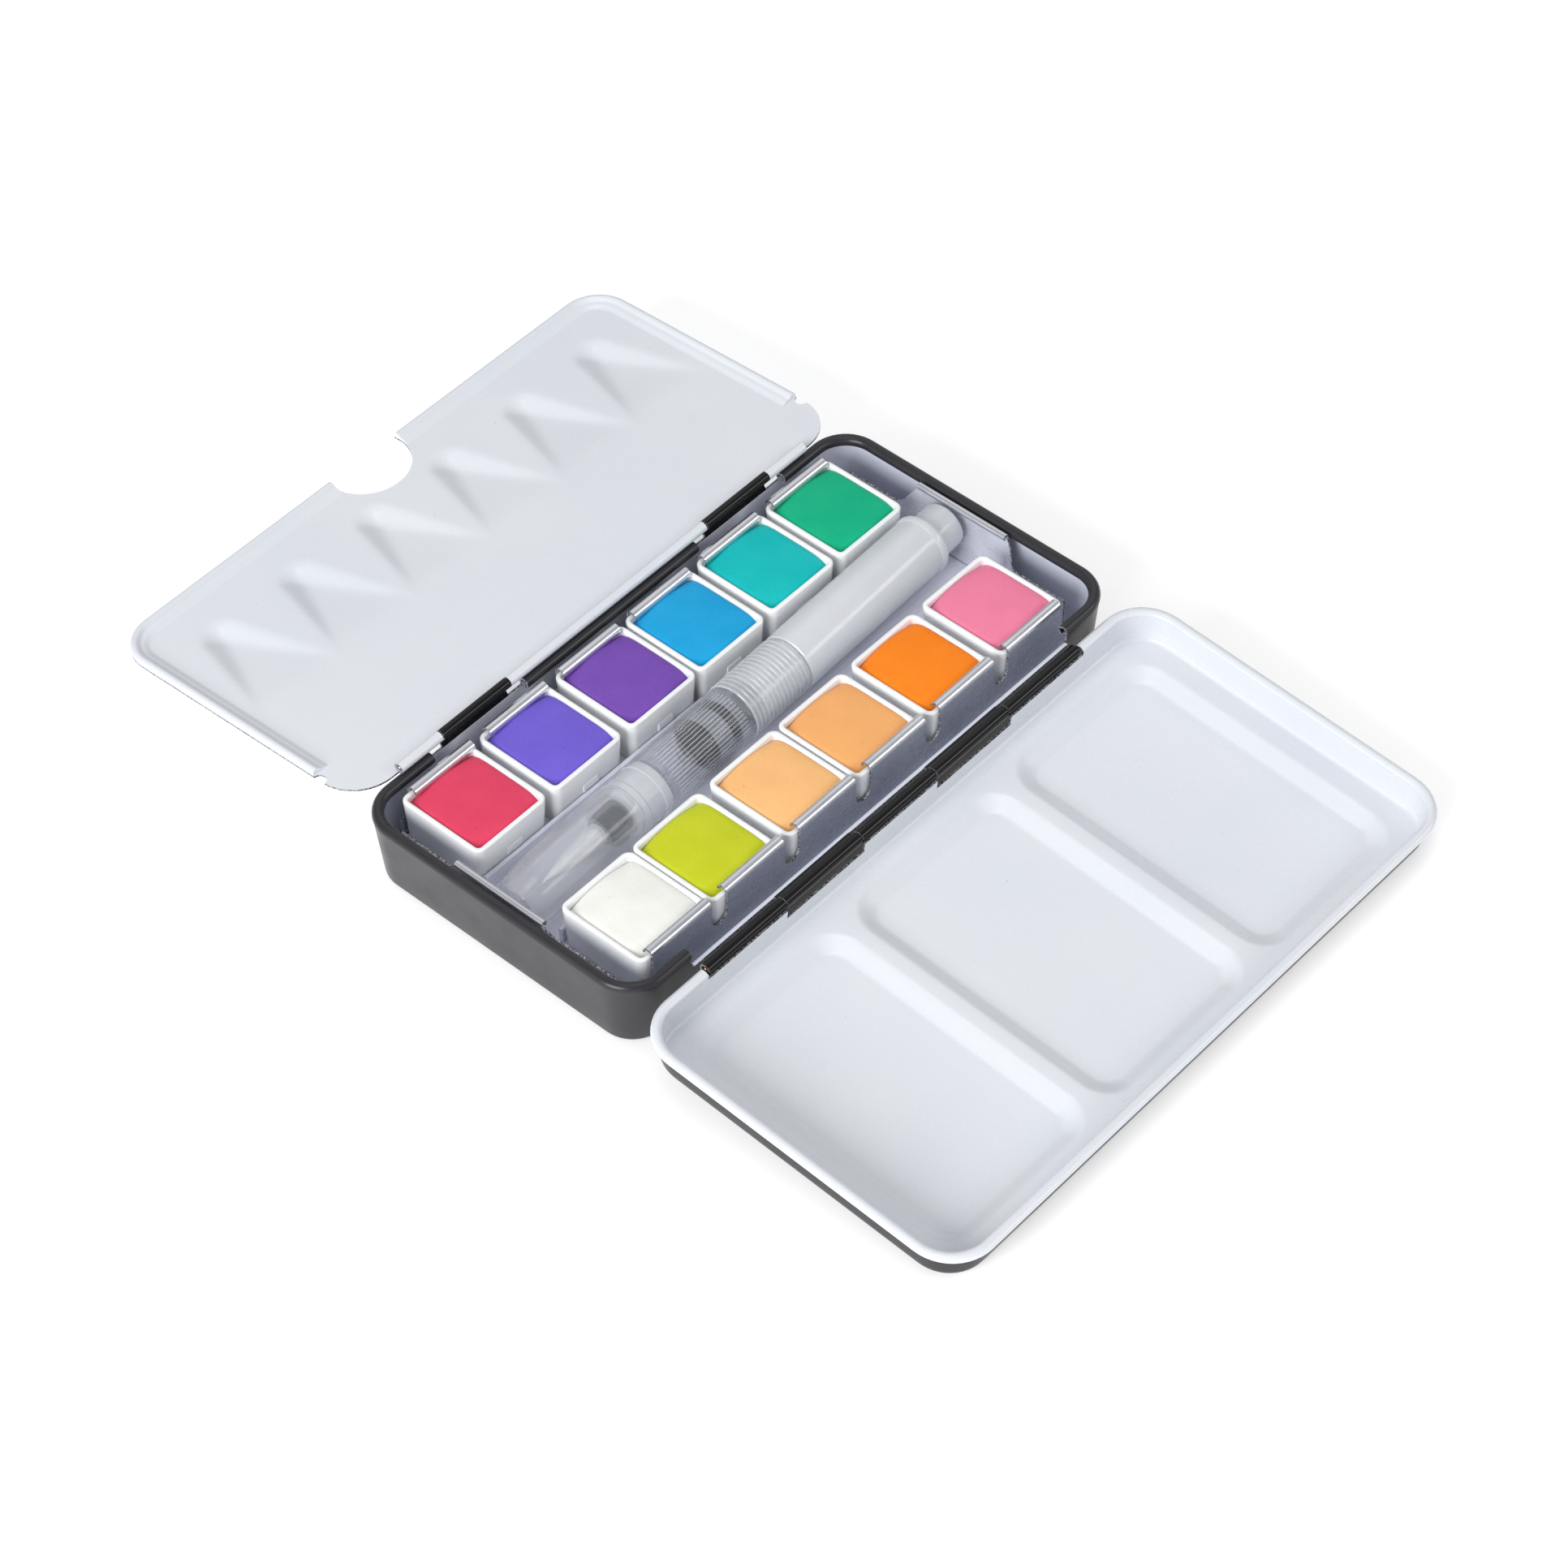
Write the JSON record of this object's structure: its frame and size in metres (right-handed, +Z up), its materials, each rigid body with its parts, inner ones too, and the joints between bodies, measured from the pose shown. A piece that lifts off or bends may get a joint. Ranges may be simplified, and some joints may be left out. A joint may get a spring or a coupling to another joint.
{
  "type": "watercolor pan set",
  "caption": "Folding metal watercolour tin with filled half pans in a clip insert, a water brush, a hinged deep lid and a hinged mixing leaf.",
  "frame": {"origin": "centre of the tray's foot, on the surface that it stands on", "axes": "+X along the tray, +Y across it towards the mixing leaf's side (the deep lid opens towards -Y), +Z up"},
  "size_m": [0.1266, 0.1891, 0.0171],
  "materials": {
    "black_enamel": "satin black enamel, pale inside",
    "white_enamel": "smooth white enamel",
    "tinplate": "bright rolled tinplate",
    "copper_wire": "coppered hinge wire",
    "steel_wire": "plain steel hinge wire",
    "pan_plastic": "white moulded plastic",
    "clear_plastic": "clear moulded plastic",
    "frosted_plastic": "soft frosted plastic",
    "seal_rubber": "dark grey rubber",
    "bristle_fibre": "pale nylon fibres",
    "ferrule_plastic": "dark grey plastic",
    "paint_crimson": "dry pressed watercolour, crimson",
    "paint_blue_violet": "dry pressed watercolour, blue violet",
    "paint_purple": "dry pressed watercolour, purple",
    "paint_sky_blue": "dry pressed watercolour, sky blue",
    "paint_turquoise": "dry pressed watercolour, turquoise",
    "paint_emerald": "dry pressed watercolour, emerald",
    "paint_white": "dry pressed watercolour, white",
    "paint_lime": "dry pressed watercolour, lime",
    "paint_peach": "dry pressed watercolour, peach",
    "paint_apricot": "dry pressed watercolour, apricot",
    "paint_orange": "dry pressed watercolour, orange",
    "paint_pink": "dry pressed watercolour, pink"
  },
  "bodies": {
    "tray": {"base_tray": "black_enamel", "pan_insert": "tinplate", "lid_hinge_wire": "copper_wire", "leaf_hinge_wire": "steel_wire", "pan_left_1": "pan_plastic", "pan_left_2": "pan_plastic", "pan_left_3": "pan_plastic", "pan_left_4": "pan_plastic", "pan_left_5": "pan_plastic", "pan_left_6": "pan_plastic", "pan_right_1": "pan_plastic", "pan_right_2": "pan_plastic", "pan_right_3": "pan_plastic", "pan_right_4": "pan_plastic", "pan_right_5": "pan_plastic", "pan_right_6": "pan_plastic", "paint_left_1": "paint_crimson", "paint_left_2": "paint_blue_violet", "paint_left_3": "paint_purple", "paint_left_4": "paint_sky_blue", "paint_left_5": "paint_turquoise", "paint_left_6": "paint_emerald", "paint_right_1": "paint_white", "paint_right_2": "paint_lime", "paint_right_3": "paint_peach", "paint_right_4": "paint_apricot", "paint_right_5": "paint_orange", "paint_right_6": "paint_pink", "brush_cap": "clear_plastic", "brush_bristles": "bristle_fibre", "brush_ferrule": "ferrule_plastic", "brush_collar": "clear_plastic", "brush_body": "clear_plastic", "brush_seal": "seal_rubber"},
    "lid": {"lid": "white_enamel"},
    "leaf": {"mixing_leaf": "white_enamel"},
    "reservoir": {"brush_reservoir": "frosted_plastic", "brush_end_plug": "frosted_plastic"}
  },
  "joints": [
    {"name": "lid_hinge", "type": "hinge", "parent": "tray", "child": "lid", "pos_m": [0, -0.03315, 0.012], "axis": [-1, 0, 0], "range_deg": [0, 180.2]},
    {"name": "leaf_hinge", "type": "hinge", "parent": "tray", "child": "leaf", "pos_m": [0, 0.03065, 0.01615], "axis": [1, 0, 0], "range_deg": [0, 183.3]},
    {"name": "reservoir_twist", "type": "hinge", "parent": "tray", "child": "reservoir", "pos_m": [0.02998, 0.00265, 0.0105], "axis": [0.9993, 0.0384, 0], "range_deg": [0, 360]}
  ]
}
